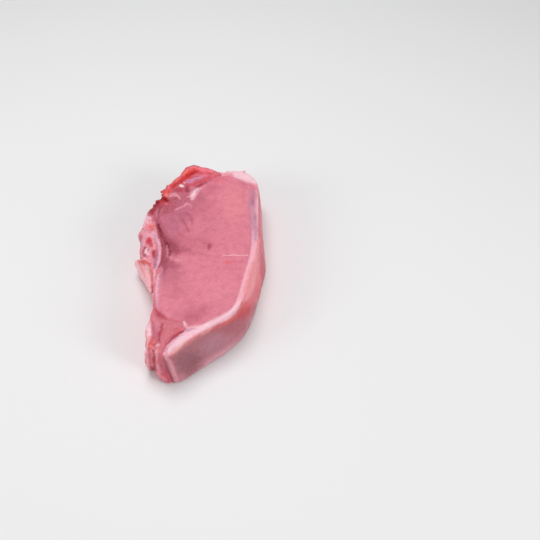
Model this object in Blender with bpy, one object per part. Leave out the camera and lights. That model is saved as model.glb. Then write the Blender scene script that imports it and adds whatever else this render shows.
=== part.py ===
"""A raw veal loin chop, bone in, lying flat on its lower cut face.

The chop is one slice through the loin, so every tissue runs through its whole thickness. The plan
below is a small map: corners where tissues meet, and the lines between them. Each tissue is a
prism on its own part of the map, with the slope of the chop's side, and the upper cut face, which
is not quite flat, trims them all.

Plan measures are in millimetres. +Y points from the tail to the wide end of the loin, +X to the
side with the fat cap, and Z is up from the face that the chop lies on.
"""

import math

import bmesh
import bpy
from mathutils import Vector

MM = 0.001
THICKNESS = 30.0
SEAM_GAP = 0.3  # between neighbouring tissues
OUTLINE_STEP = 3.6  # spacing of the points along every line of the map
CUT_DROP = 0.8  # the cut face's level, away from its swells, below the full thickness
SHOULDER = 3.0  # the side starts to round over this far below the cut face
SIDE_BOW = 0.8  # the side is slightly hollow: 1 would be a straight slope
FOOT_ROUND = 1.0  # the small round edge where the side meets the lower face
ROUND_LIMIT = 1.4  # the rounding goes no further than this many shoulders up
CUT_ABOVE = 5.0  # the prisms stand this far above the cut face that trims them
SLAB_HALF = (60.0, 104.0)  # the slab that trims them reaches past the chop all round
SLAB_BELOW = 6.0  # and below its lower face
SLAB_CELL = 5.5  # spacing of the points that shape the cut face
SHARP_ANGLE = math.radians(35.0)  # edges that turn more than this stay sharp
CURVE_STEPS = 24  # straight steps that a smooth curve between two given points is measured in

# Corners of the map: where three tissues meet, or two of them and the open side.
CORNERS = {
    "far_end": (13.0, 80.0),
    "far_seam": (10.5, 75.0),
    "fat_tip": (-15.0, -86.8),
    "tail_corner": (-28.0, -75.5),
    "tail_seam": (-26.5, -56.0),
    "tail_fat": (-3.0, -68.0),
    "flank_foot": (-27.5, -33.0),
    "flank_seam": (-28.0, -20.0),
    "flank_head": (-42.5, 5.5),
    "bone_head": (-32.0, 25.0),
    "bone_side": (-40.5, 27.0),
}

# The open side, once round the chop. Each line gives its ends, the points between them, how far
# the rim is rounded back, and how far the foot stands out past the rim, read at equal steps from
# one end to the other.
SIDES = {
    "fat_side": ("far_end", "fat_tip",
                 [(20.0, 82.4), (26.5, 81.8), (32.6, 78.4), (38.0, 71.0), (40.0, 60.5), (40.5, 38.0),
                  (40.3, 6.0), (37.6, -14.0), (34.6, -33.0), (30.0, -48.5), (21.0, -60.0), (6.0, -71.5),
                  (-6.0, -83.0), (-11.5, -87.8)],
                 1.35, [1.0, 1.5, 2.4, 5.0, 4.2, 3.0, 2.5, 1.0]),
    "tail_end": ("fat_tip", "tail_corner", [(-20.5, -83.5), (-26.0, -79.5)], 1.0, [1.0, 2.5]),
    "tail_side": ("tail_corner", "tail_seam", [(-27.6, -66.0)], 1.2, [2.5, 1.5]),
    "eye_side": ("tail_seam", "flank_foot", [(-26.8, -45.0)], 1.2, [1.5, 2.0]),
    "flank_side": ("flank_foot", "flank_head",
                   [(-29.6, -27.0), (-31.6, -18.5), (-35.0, -12.0), (-40.0, -5.5), (-44.5, 0.5)],
                   0.3, [1.5, 3.0, 2.0, 1.5]),
    "bone_out": ("flank_head", "bone_side", [(-43.0, 12.5), (-42.0, 20.0)], 1.0, [2.0, 3.0]),
    "far_side": ("bone_side", "far_end",
                 [(-39.5, 37.0), (-34.0, 49.0), (-29.0, 59.0), (-25.0, 71.0), (-18.0, 80.0),
                  (-12.0, 88.0), (-3.0, 86.5), (6.0, 81.5)],
                 1.3, [3.0, 2.0, 1.0, 1.0]),
}

# Seams inside the chop, where two tissues lie against each other.
SEAMS = {
    "eye_fat": ("far_seam", "tail_fat",
                [(17.0, 76.6), (22.6, 72.8), (28.4, 68.6), (32.2, 63.0), (33.2, 50.0), (34.2, 33.0),
                 (35.0, 8.0), (32.6, -16.0), (29.3, -36.0), (23.6, -53.0), (10.5, -63.0)]),
    "tail_fat": ("tail_fat", "fat_tip", [(-10.5, -77.0)]),
    "cap_fat": ("far_seam", "far_end", []),
    "eye_cap": ("far_seam", "bone_head", [(-3.0, 64.0), (-9.5, 50.0), (-16.0, 39.5), (-28.0, 33.0)]),
    "eye_bone": ("bone_head", "flank_seam", [(-29.5, 13.0), (-26.5, 3.0), (-25.5, -8.0)]),
    "bone_cap": ("bone_head", "bone_side", []),
    "bone_flank": ("flank_seam", "flank_head", [(-33.5, -11.0), (-38.0, -4.0)]),
    "eye_flank": ("flank_seam", "flank_foot", []),
    "eye_tail": ("tail_seam", "tail_fat", [(-20.0, -60.0), (-12.0, -63.5)]),
}

# Each tissue's lines, in order round its edge. A minus sign walks the line from its far end.
TISSUES = {
    "loin_eye": ["eye_fat", "-eye_tail", "eye_side", "-eye_flank", "-eye_bone", "-eye_cap"],
    "fat_cap": ["fat_side", "-tail_fat", "-eye_fat", "cap_fat"],
    "cap_muscle": ["far_side", "-cap_fat", "eye_cap", "bone_cap"],
    "chine_bone": ["bone_out", "-bone_cap", "eye_bone", "bone_flank"],
    "rib_flank": ["flank_side", "-bone_flank", "eye_flank"],
    "tail_muscle": ["tail_end", "tail_side", "eye_tail", "tail_fat"],
}

# Linear colour and roughness of each tissue, fresh and moist.
FINISHES = {
    "loin_eye": ((0.75, 0.24, 0.30), 0.42),
    "fat_cap": ((0.86, 0.52, 0.56), 0.45),
    "cap_muscle": ((0.62, 0.13, 0.15), 0.38),
    "chine_bone": ((0.78, 0.40, 0.45), 0.40),
    "rib_flank": ((0.88, 0.50, 0.48), 0.42),
    "tail_muscle": ((0.66, 0.20, 0.24), 0.42),
}

# Rises and hollows of the upper cut face: centre, reach along X and Y, height.
SWELLS = [
    ((8.0, 5.0), (26.0, 62.0), 0.9),  # the loin eye bulges a little once it is cut
    ((-19.0, 0.0), (9.0, 20.0), -3.2),  # it shrinks back beside the bone
    ((-35.0, 8.0), (7.0, 17.0), 1.0),  # the sawn bone stands proud
    ((-47.5, 0.5), (6.0, 10.0), -18.0),  # the flank slopes down and out
    ((-28.0, -82.0), (14.0, 17.0), -4.5),  # the tail thins at its corner
    ((-20.0, 74.0), (8.0, 13.0), 2.0),  # the torn flap stands up
    ((-4.0, 84.0), (12.0, 5.0), 1.5),
]


def smooth_line(start, between, end):
    """Points every OUTLINE_STEP along a smooth curve through the given ones."""
    through = [Vector(p) for p in (start, *between, end)]
    if len(through) == 2:
        middle = (through[0] + through[1]) / 2
        through.insert(1, middle)
    padded = [2 * through[0] - through[1], *through, 2 * through[-1] - through[-2]]
    dense = [through[0]]
    for before, here, ahead, after in zip(padded, padded[1:], padded[2:], padded[3:]):
        for i in range(1, CURVE_STEPS + 1):
            t = i / CURVE_STEPS
            bend = 2 * here + (ahead - before) * t
            bend += (2 * before - 5 * here + 4 * ahead - after) * t**2
            bend += (3 * here - before - 3 * ahead + after) * t**3
            dense.append(bend / 2)
    length = sum((b - a).length for a, b in zip(dense, dense[1:]))
    count = max(2, round(length / OUTLINE_STEP))
    points, walked, due = [dense[0]], 0.0, length / count
    for a, b in zip(dense, dense[1:]):
        piece = (b - a).length
        while len(points) < count and walked + piece >= due:
            points.append(a.lerp(b, (due - walked) / piece))
            due += length / count
        walked += piece
    return [*points, dense[-1]]


def read_along(values, share):
    """The value at a share of the way along a list of equally spaced values."""
    place = share * (len(values) - 1)
    low = min(int(place), len(values) - 2)
    return values[low] + (values[low + 1] - values[low]) * (place - low)


def map_lines():
    """{line name: its points}, and {outline point: (way out, spread of its foot, rim rounding)}."""
    lines, ring = {}, []
    for name, (start, end, between, rim_round, spread) in SIDES.items():
        points = smooth_line(CORNERS[start], between, CORNERS[end])
        lines[name] = points
        last = len(points) - 1
        ring += [(p, read_along(spread, i / last), rim_round) for i, p in enumerate(points[:-1])]
    for name, (start, end, between) in SEAMS.items():
        lines[name] = smooth_line(CORNERS[start], between, CORNERS[end])
    open_side = {}
    for i, (point, spread, rim_round) in enumerate(ring):
        along = ring[(i + 1) % len(ring)][0] - ring[i - 1][0]
        # The outline runs clockwise, so its outside is on the left.
        way_out = Vector((-along.y, along.x)).normalized()
        open_side[tuple(point)] = (way_out, spread, rim_round)
    return lines, open_side


def tissue_edge(walk, lines):
    """The tissue's closed edge as (point, whether the stretch after it is a seam)."""
    edge = []
    for step in walk:
        name = step.lstrip("-")
        points = lines[name][::-1] if step.startswith("-") else lines[name]
        edge += [(p, name in SEAMS) for p in points[:-1]]
    return edge


def inset_at(before, here, ahead, seam_before, seam_after):
    """The shift that takes a clockwise edge's point half the seam gap back from its seams."""
    pulls = []
    if seam_before:
        pulls.append((here - before).normalized())
    if seam_after:
        pulls.append((ahead - here).normalized())
    pulls = [Vector((d.y, -d.x)) for d in pulls]  # the inside is on the right
    if not pulls:
        return Vector((0.0, 0.0))
    total = sum(pulls, Vector((0.0, 0.0)))
    # For two seams at an angle, this is the corner of the two inset lines.
    return total * (SEAM_GAP / 2) * len(pulls) / total.length_squared


def stand_out(spread, rim_round, height):
    """How far out of the rim's line the side is at a height, in millimetres."""
    slope = max(0.0, 1.0 - height / (THICKNESS - SHOULDER)) ** SIDE_BOW
    over = min(ROUND_LIMIT, max(0.0, (height - THICKNESS + SHOULDER) / SHOULDER))
    under = max(0.0, 1.0 - height / (2 * FOOT_ROUND))
    return spread * slope - rim_round * over**2 - FOOT_ROUND * under**2


def prism(name, edge, open_side):
    """The tissue as a prism on its part of the map, with the chop's sloping side where it is open."""
    shoulder = THICKNESS - SHOULDER
    heights = [0.0, FOOT_ROUND, shoulder * 0.25, shoulder * 0.5, shoulder * 0.8, shoulder]
    heights += [THICKNESS - 1.0, THICKNESS + 1.0, THICKNESS + CUT_ABOVE]
    bm = bmesh.new()
    rings = []
    count = len(edge)
    for height in heights:
        ring = []
        for i, (point, seam_after) in enumerate(edge):
            before, seam_before = edge[i - 1]
            ahead = edge[(i + 1) % count][0]
            place = point + inset_at(before, point, ahead, seam_before, seam_after)
            if tuple(point) in open_side:
                way_out, spread, rim_round = open_side[tuple(point)]
                place = place + way_out * stand_out(spread, rim_round, height)
            ring.append(bm.verts.new((place.x * MM, place.y * MM, height * MM)))
        loop = [bm.edges.new((ring[i - 1], ring[i])) for i in range(count)]
        rings.append((ring, loop))
    for (_, low), (_, high) in zip(rings, rings[1:]):
        bmesh.ops.bridge_loops(bm, edges=low + high)
    bm.faces.new(rings[0][0])
    bm.faces.new(rings[-1][0][::-1])
    bmesh.ops.recalc_face_normals(bm, faces=bm.faces)
    mesh = bpy.data.meshes.new(name)
    bm.to_mesh(mesh)
    bm.free()
    mesh.shade_smooth()
    mesh.set_sharp_from_angle(angle=SHARP_ANGLE)
    body = bpy.data.objects.new(name, mesh)
    bpy.context.scene.collection.objects.link(body)
    return body


def cut_height(x, y):
    """Height of the upper cut face over a point of the plan, in millimetres."""
    height = THICKNESS - CUT_DROP
    for (cx, cy), (rx, ry), rise in SWELLS:
        height += rise * math.exp(-(((x - cx) / rx) ** 2) - ((y - cy) / ry) ** 2)
    return height


def cutting_slab():
    """The space under the upper cut face, which every tissue is trimmed to."""
    half_x, half_y = SLAB_HALF
    bm = bmesh.new()
    bmesh.ops.create_grid(
        bm, x_segments=round(2 * half_x / SLAB_CELL), y_segments=round(2 * half_y / SLAB_CELL), size=1.0
    )
    for vert in bm.verts:
        x, y = vert.co.x * half_x, vert.co.y * half_y
        vert.co = Vector((x, y, cut_height(x, y))) * MM
    bmesh.ops.triangulate(bm, faces=bm.faces)
    grown = bmesh.ops.extrude_face_region(bm, geom=bm.faces[:])
    for item in grown["geom"]:
        if isinstance(item, bmesh.types.BMVert):
            item.co.z = -SLAB_BELOW * MM
    bmesh.ops.recalc_face_normals(bm, faces=bm.faces)
    mesh = bpy.data.meshes.new("cutting_slab")
    bm.to_mesh(mesh)
    bm.free()
    slab = bpy.data.objects.new("cutting_slab", mesh)
    slab.hide_render = True
    slab.display_type = "WIRE"
    bpy.context.scene.collection.objects.link(slab)
    return slab


def finish_of(name):
    """A plain material in the tissue's own colour."""
    colour, roughness = FINISHES[name]
    material = bpy.data.materials.new(name)
    material.use_nodes = True
    shader = material.node_tree.nodes["Principled BSDF"]
    shader.inputs["Base Color"].default_value = (*colour, 1.0)
    shader.inputs["Roughness"].default_value = roughness
    shader.inputs["Metallic"].default_value = 0.0
    return material


def build():
    for old in list(bpy.data.objects):
        bpy.data.objects.remove(old)
    lines, open_side = map_lines()
    slab = cutting_slab()
    for name, walk in TISSUES.items():
        body = prism(name, tissue_edge(walk, lines), open_side)
        trim = body.modifiers.new("upper_cut", "BOOLEAN")
        trim.operation = "INTERSECT"
        trim.object = slab
        body.data.materials.append(finish_of(name))


build()
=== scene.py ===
# %% [markdown]
# # A raw veal chop, in Blender
# A chop is one slice through the loin. Six tissues lie side by side in it: the pale eye, the fat
# round it, a darker cap of muscle, a piece of backbone, a strip of flank and the tail. Each of them
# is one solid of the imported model, and this script gives each its real surface and finish.
#
# The first cell loads that model. It is the frame: nothing in it is moved or resized, and every new
# piece is made from it, in the same place.

import math
from collections import namedtuple

import bmesh
import bpy
import numpy as np
from mathutils import Matrix, Vector, noise
from mathutils.bvhtree import BVHTree


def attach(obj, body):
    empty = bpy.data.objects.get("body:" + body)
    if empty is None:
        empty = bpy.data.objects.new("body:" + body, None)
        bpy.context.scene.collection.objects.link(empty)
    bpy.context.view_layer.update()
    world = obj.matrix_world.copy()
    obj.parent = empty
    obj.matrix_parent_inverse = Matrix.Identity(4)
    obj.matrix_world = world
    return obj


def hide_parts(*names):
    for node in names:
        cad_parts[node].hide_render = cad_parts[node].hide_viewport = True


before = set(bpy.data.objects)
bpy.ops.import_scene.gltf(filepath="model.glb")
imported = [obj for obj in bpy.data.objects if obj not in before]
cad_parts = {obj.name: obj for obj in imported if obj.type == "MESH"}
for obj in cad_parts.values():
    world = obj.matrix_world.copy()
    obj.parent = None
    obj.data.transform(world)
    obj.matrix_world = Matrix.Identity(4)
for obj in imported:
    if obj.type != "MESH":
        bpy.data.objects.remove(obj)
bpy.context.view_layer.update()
MM = 0.001

# %% [markdown]
# ## The camera
# The picture looks down at the chop from in front, at 48 degrees. A camera has three things to
# settle: where it stands, where it looks and how long its lens is. The lens is worked out from the
# picture's width and its focal length in pixels, because Blender's lens is stated for a sensor
# 36 mm wide.
#
# The same numbers also run the other way. `spot` sends a ray from the camera through one pixel of
# the picture and gives the place where it meets a level surface. A small feature, such as a fleck
# of fat, can then be placed by the pixel where it is seen, and it still lies on the meat.

# %% Camera
PICTURE = 540
FOCAL_PIXELS = 680
LOOK_DOWN = math.radians(48)
CAMERA_PLACE = Vector((48.07, -320.92, 363.87))  # in mm
CUT_LEVEL = 29.5  # the upper cut face, in mm above the floor

forward = Vector((0, math.cos(LOOK_DOWN), -math.sin(LOOK_DOWN)))
rightward = Vector((1, 0, 0))
upward = rightward.cross(forward)


def make_camera():
    camera = bpy.data.objects.new("camera", bpy.data.cameras.new("camera"))
    camera.data.sensor_width = 36
    camera.data.lens = camera.data.sensor_width * FOCAL_PIXELS / PICTURE
    camera.data.clip_start = 0.01
    turn = Matrix((rightward, upward, -forward)).transposed().to_4x4()
    camera.matrix_world = Matrix.Translation(CAMERA_PLACE * MM) @ turn
    bpy.context.scene.collection.objects.link(camera)
    bpy.context.scene.camera = camera


def spot(px, py, level=CUT_LEVEL):
    """The place in mm, as (x, y), that pixel (px, py) of the picture shows at a level."""
    across, down = (px - PICTURE / 2) / FOCAL_PIXELS, (py - PICTURE / 2) / FOCAL_PIXELS
    ray = forward + rightward * across - upward * down
    return np.array((CAMERA_PLACE + ray * ((level - CAMERA_PLACE.z) / ray.z)).xy)


def at(px, py, level):
    """The same place with its height, as (x, y, z)."""
    return (*spot(px, py, level), level)


make_camera()
print("the middle of the picture shows", spot(PICTURE / 2, PICTURE / 2).round(1), "mm")

# %% [markdown]
# ## A studio for wet things
# Raw meat is seen by its soft, bright upper face and its darker sides. So the main light is a large
# area lamp high above and a little behind, a weaker one fills from the front left, and a plain pale
# floor carries the soft shadow. The Standard view transform keeps the pinks as they are mixed; the
# filmic ones would grey them. Places and sizes in this cell are in metres, as Blender counts them.

# %% Floor, lights and world
def plain_material(name, colour, roughness):
    material = bpy.data.materials.new(name)
    material.use_nodes = True
    shader = material.node_tree.nodes["Principled BSDF"]
    shader.inputs["Base Color"].default_value = (*colour, 1)
    shader.inputs["Roughness"].default_value = roughness
    return material


def make_floor(half_width=3.0, level=-0.0003):
    bm = bmesh.new()
    bmesh.ops.create_grid(bm, x_segments=1, y_segments=1, size=half_width)
    bmesh.ops.translate(bm, verts=bm.verts, vec=(0, 0, level))
    mesh = bpy.data.meshes.new("floor")
    bm.to_mesh(mesh)
    bm.free()
    floor = bpy.data.objects.new("floor", mesh)
    bpy.context.scene.collection.objects.link(floor)
    mesh.materials.append(plain_material("floor_paint", (0.86, 0.86, 0.87), 0.6))


def area_light(name, place, aim, size, watts):
    light = bpy.data.lights.new(name, "AREA")
    light.shape = "DISK"
    light.size = size
    light.energy = watts
    lamp = bpy.data.objects.new(name, light)
    lamp.location = place
    lamp.rotation_euler = (Vector(aim) - Vector(place)).to_track_quat("-Z", "Y").to_euler()
    bpy.context.scene.collection.objects.link(lamp)


def make_world(brightness):
    world = bpy.data.worlds.new("studio")
    world.use_nodes = True
    world.node_tree.nodes["Background"].inputs["Color"].default_value = (1, 1, 1, 1)
    world.node_tree.nodes["Background"].inputs["Strength"].default_value = brightness
    bpy.context.scene.world = world


make_floor()
area_light("overhead", (-0.10, 0.25, 0.95), (0, 0, 0), 0.55, 4.5)
area_light("right_fill", (0.85, -0.55, 0.50), (0, 0, 0.01), 0.5, 4.1)
area_light("left_fill", (-0.90, -0.40, 0.50), (0, 0, 0.01), 0.5, 2.9)
make_world(0.34)
bpy.context.scene.view_settings.view_transform = "Standard"

# %% [markdown]
# ## From a plain solid to a lump of meat
# Flesh has no flat facets and no sharp corners. A quick way to give a plain solid an even skin that
# can take any relief is a voxel remesh: Blender wraps the solid in small squares, all of one size.
# The solid is first swollen where it lies against its neighbours, so that the rounding of its
# edges is hidden inside them and no dark gap shows at the seams. Extra lumps and strands merge into
# it in the remesh, as they do in the real thing. A few rounds of smoothing take off the steps.
#
# A strand is a row of close beads. Its places are pixels of the picture with a level in mm, so it
# can follow what is seen there.

# %% Solid to skin
SEAM_LAP = 0.8  # mm that neighbours press into each other
SEAM_REACH = 0.8  # mm within which a neighbour counts as touching
WALL = 0.3  # the level part of a normal, above which a face counts as a wall
MERGE_WITHIN = 0.002  # mm
BEAD_STEP = 0.5  # from bead to bead, as a share of the strand's smaller radius
SMOOTH_ROUNDS = 3


def tree_of(node_object):
    bm = bmesh.new()
    bm.from_mesh(node_object.data)
    tree = BVHTree.FromBMesh(bm)
    bm.free()
    return tree


surfaces = {node: tree_of(node_object) for node, node_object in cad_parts.items()}


def add_lump(bm, place, radii, turn=0.0):
    """An egg-shaped lump in mm, turned about Z."""
    egg = Matrix.Translation(Vector(place) * MM) @ Matrix.Rotation(math.radians(turn), 4, "Z")
    egg = egg @ Matrix.Diagonal((*radii, 1.0))
    bmesh.ops.create_icosphere(bm, subdivisions=3, radius=MM, matrix=egg)


def add_strand(bm, pixels, radii):
    """A tapering strand of close beads, through places given as pixels with a level in mm."""
    places = [Vector(at(*p)) for p in pixels]
    for (start, end), (r0, r1) in zip(zip(places, places[1:]), zip(radii, radii[1:])):
        beads = max(2, round((end - start).length / (min(r0, r1) * BEAD_STEP)))
        for i in range(beads + 1):
            share = i / beads
            radius = r0 + (r1 - r0) * share
            add_lump(bm, start.lerp(end, share), (radius, radius, radius))


def swell_at_seams(bm, node):
    """Moves the walls that face another tissue out by SEAM_LAP."""
    others = [tree for name, tree in surfaces.items() if name != node]
    moves = []
    for vert in bm.verts:
        out = Vector((vert.normal.x, vert.normal.y, 0))
        gap = min(tree.find_nearest(vert.co)[3] for tree in others)
        if out.length > WALL and gap < SEAM_REACH * MM:
            moves.append((vert, out.normalized() * SEAM_LAP * MM))
    for vert, move in moves:
        vert.co += move


def smooth(bm, verts, rounds):
    """Draws each point towards the middle of its neighbours."""
    for _ in range(rounds):
        bmesh.ops.smooth_vert(bm, verts=verts, factor=0.5,
                              use_axis_x=True, use_axis_y=True, use_axis_z=True)


def wrap(name, node, cell, add=None):
    """A new object: the node's solid with its extra lumps, wrapped in an even skin of small squares."""
    bm = bmesh.new()
    bm.from_mesh(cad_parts[node].data)
    bmesh.ops.remove_doubles(bm, verts=bm.verts, dist=MERGE_WITHIN * MM)
    bm.normal_update()
    swell_at_seams(bm, node)
    if add:
        add(bm)
    rough = bpy.data.meshes.new(name + "_rough")
    bm.to_mesh(rough)
    bm.free()
    blank = bpy.data.objects.new(name + "_rough", rough)
    bpy.context.scene.collection.objects.link(blank)
    remesh = blank.modifiers.new("wrap", "REMESH")
    remesh.mode = "VOXEL"
    remesh.voxel_size = cell * MM
    wrapped = blank.evaluated_get(bpy.context.evaluated_depsgraph_get())
    mesh = bpy.data.meshes.new_from_object(wrapped)
    bpy.data.objects.remove(blank)
    bm = bmesh.new()
    bm.from_mesh(mesh)
    smooth(bm, bm.verts, SMOOTH_ROUNDS)
    bm.to_mesh(mesh)
    bm.free()
    mesh.name = name
    mesh.materials.clear()
    mesh.shade_smooth()
    piece = bpy.data.objects.new(name, mesh)
    bpy.context.scene.collection.objects.link(piece)
    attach(piece, "root")
    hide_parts(node)
    return piece


print("surfaces that seams are measured against:", len(surfaces))

# %% [markdown]
# ## Soft noise, soft edges and smooth lines
# Four small tools serve every later step. `grain` is repeatable noise over the points of a skin.
# `soft_step` turns any measure into a soft-edged share from 0 to 1. `smooth_through` runs a smooth
# line through a few places, and `off_line` says how far each point lies from such a line.

# %% Noise, edges and lines
def grain(points, size, seed=0, stretch=(1, 1, 1)):
    """Soft noise from -1 to 1 with features of about the given size in mm."""
    shift = Vector((seed * 17.3, seed * 5.1, seed * 11.7))
    scaled = points / (np.array(stretch) * size)
    return np.array([noise.noise(Vector(p) + shift) for p in scaled])


def soft_step(value, low, high):
    share = np.clip((value - low) / (high - low), 0, 1)
    return share * share * (3 - 2 * share)


def smooth_through(places, steps=6):
    """A smooth line through a few places in a plane."""
    places = [np.array(p, float) for p in places]
    padded = [2 * places[0] - places[1], *places, 2 * places[-1] - places[-2]]
    line = [places[0]]
    for a, b, c, d in zip(padded, padded[1:], padded[2:], padded[3:]):
        for i in range(1, steps + 1):
            t = i / steps
            bend = 2 * b + (c - a) * t + (2 * a - 5 * b + 4 * c - d) * t**2
            bend = bend + (3 * b - a - 3 * c + d) * t**3
            line.append(bend / 2)
    return np.array(line)


def off_line(plane_points, line):
    """Each point's distance from a line, and the share along the line where it is nearest."""
    best = np.full(len(plane_points), 1e9)
    along = np.zeros(len(plane_points))
    for i, (a, b) in enumerate(zip(line, line[1:])):
        span = b - a
        t = np.clip(((plane_points - a) @ span) / max(span @ span, 1e-9), 0, 1)
        away = np.linalg.norm(plane_points - a - t[:, None] * span, axis=1)
        closer = away < best
        best[closer] = away[closer]
        along[closer] = (i + t[closer]) / (len(line) - 1)
    return best, along


print("grain at three places:", grain(np.eye(3), size=5).round(2))

# %% [markdown]
# ## A skin to shape and to paint
# A `Skin` is one piece while it is worked on. It knows where its points are, which way they face
# and at which pixel the camera sees each of them. A vein or a fleck is then described just as it is
# seen, as a line of pixels with its half widths, or as a soft oval, and it lands on whatever part of
# the meat shows there, level or upright. Faces that look away from the camera are left alone.
#
# Three tools change the skin. `push` moves points along their own outward direction, `lift` moves
# them up, and `soften` smooths a place where a cut has left a ledge. Three more colour it, like thin
# coats of paint over a first tone: `lay` puts on one coat, `lay_below` coats the hidden lower face
# and `mark` puts on a whole set of named features. The edges are shaken by noise, as meat has no
# ruled lines, and lines cover the meat in patches.

# %% Skin
Line = namedtuple("Line", "route widths tint share", defaults=(0.8,))
Oval = namedtuple("Oval", "centre radii tint share turn", defaults=(0.8, 0))
EDGE_SHAKE = 0.7  # pixels
SHAKE_SIZE = 2.5  # mm
PATCHINESS = 0.3  # the share of a painted line that the patches take away
STEEP, NEAR_LEVEL = 0.35, 0.8  # the upward part of a normal on a side, and on a level face


def tone(red, green, blue):
    """A screen colour, 0 to 255, as the linear colour that Blender mixes."""
    return tuple(((c / 255 + 0.055) / 1.055) ** 2.4 for c in (red, green, blue))


class Skin:
    def __init__(self, name, node, cell, first_tone, add=None):
        self.piece = wrap(name, node, cell, add)
        self.read()
        self.colour = np.tile(np.array(first_tone), (len(self.points), 1))

    def read(self):
        mesh = self.piece.data
        flat = np.empty(len(mesh.vertices) * 3)
        mesh.vertices.foreach_get("co", flat)
        self.points = flat.reshape(-1, 3) / MM
        flat = np.empty(len(mesh.vertices) * 3)
        mesh.vertex_normals.foreach_get("vector", flat)
        self.normals = flat.reshape(-1, 3)
        self.height = self.points[:, 2]
        self.upright = 1 - soft_step(np.abs(self.normals[:, 2]), STEEP, NEAR_LEVEL)
        self.top = soft_step(self.normals[:, 2], STEEP, NEAR_LEVEL) * soft_step(self.height, 10, 20)
        away = self.points - np.array(CAMERA_PLACE)
        depth = away @ np.array(forward)
        self.pixels = PICTURE / 2 + FOCAL_PIXELS * np.column_stack(
            [away @ np.array(rightward), away @ -np.array(upward)]) / depth[:, None]
        toward = -away / np.linalg.norm(away, axis=1)[:, None]
        self.shown = soft_step(np.sum(self.normals * toward, axis=1), 0.0, 0.3)
        self.shake = EDGE_SHAKE * np.column_stack([grain(self.points, SHAKE_SIZE, s) for s in (3, 4)])
        self.cover = 1 - PATCHINESS * soft_step(grain(self.points, size=1.7, seed=9), 0.0, 0.5)

    def write(self):
        self.points[:, 2] = np.maximum(self.points[:, 2], 0)
        self.piece.data.vertices.foreach_set("co", (self.points * MM).ravel())
        self.piece.data.update()
        self.read()

    def push(self, amount):
        self.points += self.normals * amount[:, None]

    def lift(self, amount):
        self.points[:, 2] += amount

    def soften(self, chosen, rounds):
        """Smooths the chosen points, where a cut has left a sharp ledge."""
        bm = bmesh.new()
        bm.from_mesh(self.piece.data)
        bm.verts.ensure_lookup_table()
        smooth(bm, [bm.verts[i] for i in np.flatnonzero(chosen)], rounds)
        bm.to_mesh(self.piece.data)
        bm.free()
        self.read()

    def line(self, route, widths):
        """1 along a route of pixels, falling to 0 at the half widths."""
        route = smooth_through(route)
        margin = max(widths) + EDGE_SHAKE
        low, high = route.min(0) - margin, route.max(0) + margin
        near = np.all((self.pixels > low) & (self.pixels < high), axis=1)
        away, along = off_line(self.pixels[near] + self.shake[near], route)
        half = np.interp(along, np.linspace(0, 1, len(widths)), widths)
        share = np.zeros(len(self.points))
        share[near] = (1 - soft_step(away / half, 0.25, 1.0)) * self.shown[near]
        return share

    def oval(self, centre, radii, turn=0.0):
        """A soft oval, 1 in its middle, with radii in pixels."""
        away = self.pixels + self.shake * min(radii) * 0.4 - np.array(centre)
        c, s = math.cos(math.radians(turn)), math.sin(math.radians(turn))
        u = (away[:, 0] * c + away[:, 1] * s) / radii[0]
        v = (-away[:, 0] * s + away[:, 1] * c) / radii[1]
        return (1 - soft_step(np.sqrt(u**2 + v**2), 0.25, 1.25)) * self.shown

    def lay(self, tint, share):
        self.colour += (np.array(tint) - self.colour) * np.clip(share, 0, 1)[:, None]

    def lay_below(self, tint):
        """One coat on the hidden lower face."""
        self.lay(tint, soft_step(-self.normals[:, 2], 0.3, 0.8))

    def mark(self, features):
        for feature in features.values():
            if isinstance(feature, Line):
                place = self.line(feature.route, feature.widths) * self.cover
            else:
                place = self.oval(feature.centre, feature.radii, feature.turn)
            self.lay(feature.tint, feature.share * place)

    def finish(self, material, slot):
        layer = self.piece.data.color_attributes.new("tone", "FLOAT_COLOR", "POINT")
        rgba = np.column_stack([np.clip(self.colour, 0, 1), np.ones(len(self.points))])
        layer.data.foreach_set("color", rgba.ravel())
        self.piece.data.materials.append(material)
        print(f"{self.piece.name}: {len(self.points)} points")


print("mid grey, as Blender mixes it:", [round(c, 3) for c in tone(128, 128, 128)])

# %% [markdown]
# ## One material recipe for all the tissues
# Flesh is a translucent, moist solid. Its colour comes from just under the surface, which
# subsurface scattering gives, and its shine from a thin film of juice. So every tissue uses the
# Principled shader with some scattering, a fairly low roughness that wanders, and a fine bump.
#
# The painted tone comes in through the attribute. What paint can't give is the grain, the
# fibre ends of the cut, less than a millimetre across. Two layers of noise darken and lighten the
# tone a little, and the finer one also makes the bump.

# %% The flesh recipe
SCATTER_DEPTH = 1.6  # mm that light runs through the flesh
BUMP_DEPTH = 0.4  # mm
SHINE_PATCH = 4.0  # mm across which the roughness wanders


def link(tree, out_socket, in_socket):
    tree.links.new(out_socket, in_socket)


def noise_node(tree, size, detail=3.0):
    """A noise texture whose features are about the given size in mm."""
    place = tree.nodes.new("ShaderNodeTexCoord").outputs["Object"]
    texture = tree.nodes.new("ShaderNodeTexNoise")
    texture.inputs["Scale"].default_value = 1 / (size * MM)
    texture.inputs["Detail"].default_value = detail
    link(tree, place, texture.inputs["Vector"])
    return texture.outputs["Fac"]


def ramp(tree, value, low, high, to_low, to_high):
    """Turns the range low to high of a value into another range."""
    node = tree.nodes.new("ShaderNodeMapRange")
    node.inputs["From Min"].default_value = low
    node.inputs["From Max"].default_value = high
    node.inputs["To Min"].default_value = to_low
    node.inputs["To Max"].default_value = to_high
    link(tree, value, node.inputs["Value"])
    return node.outputs["Result"]


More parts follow.
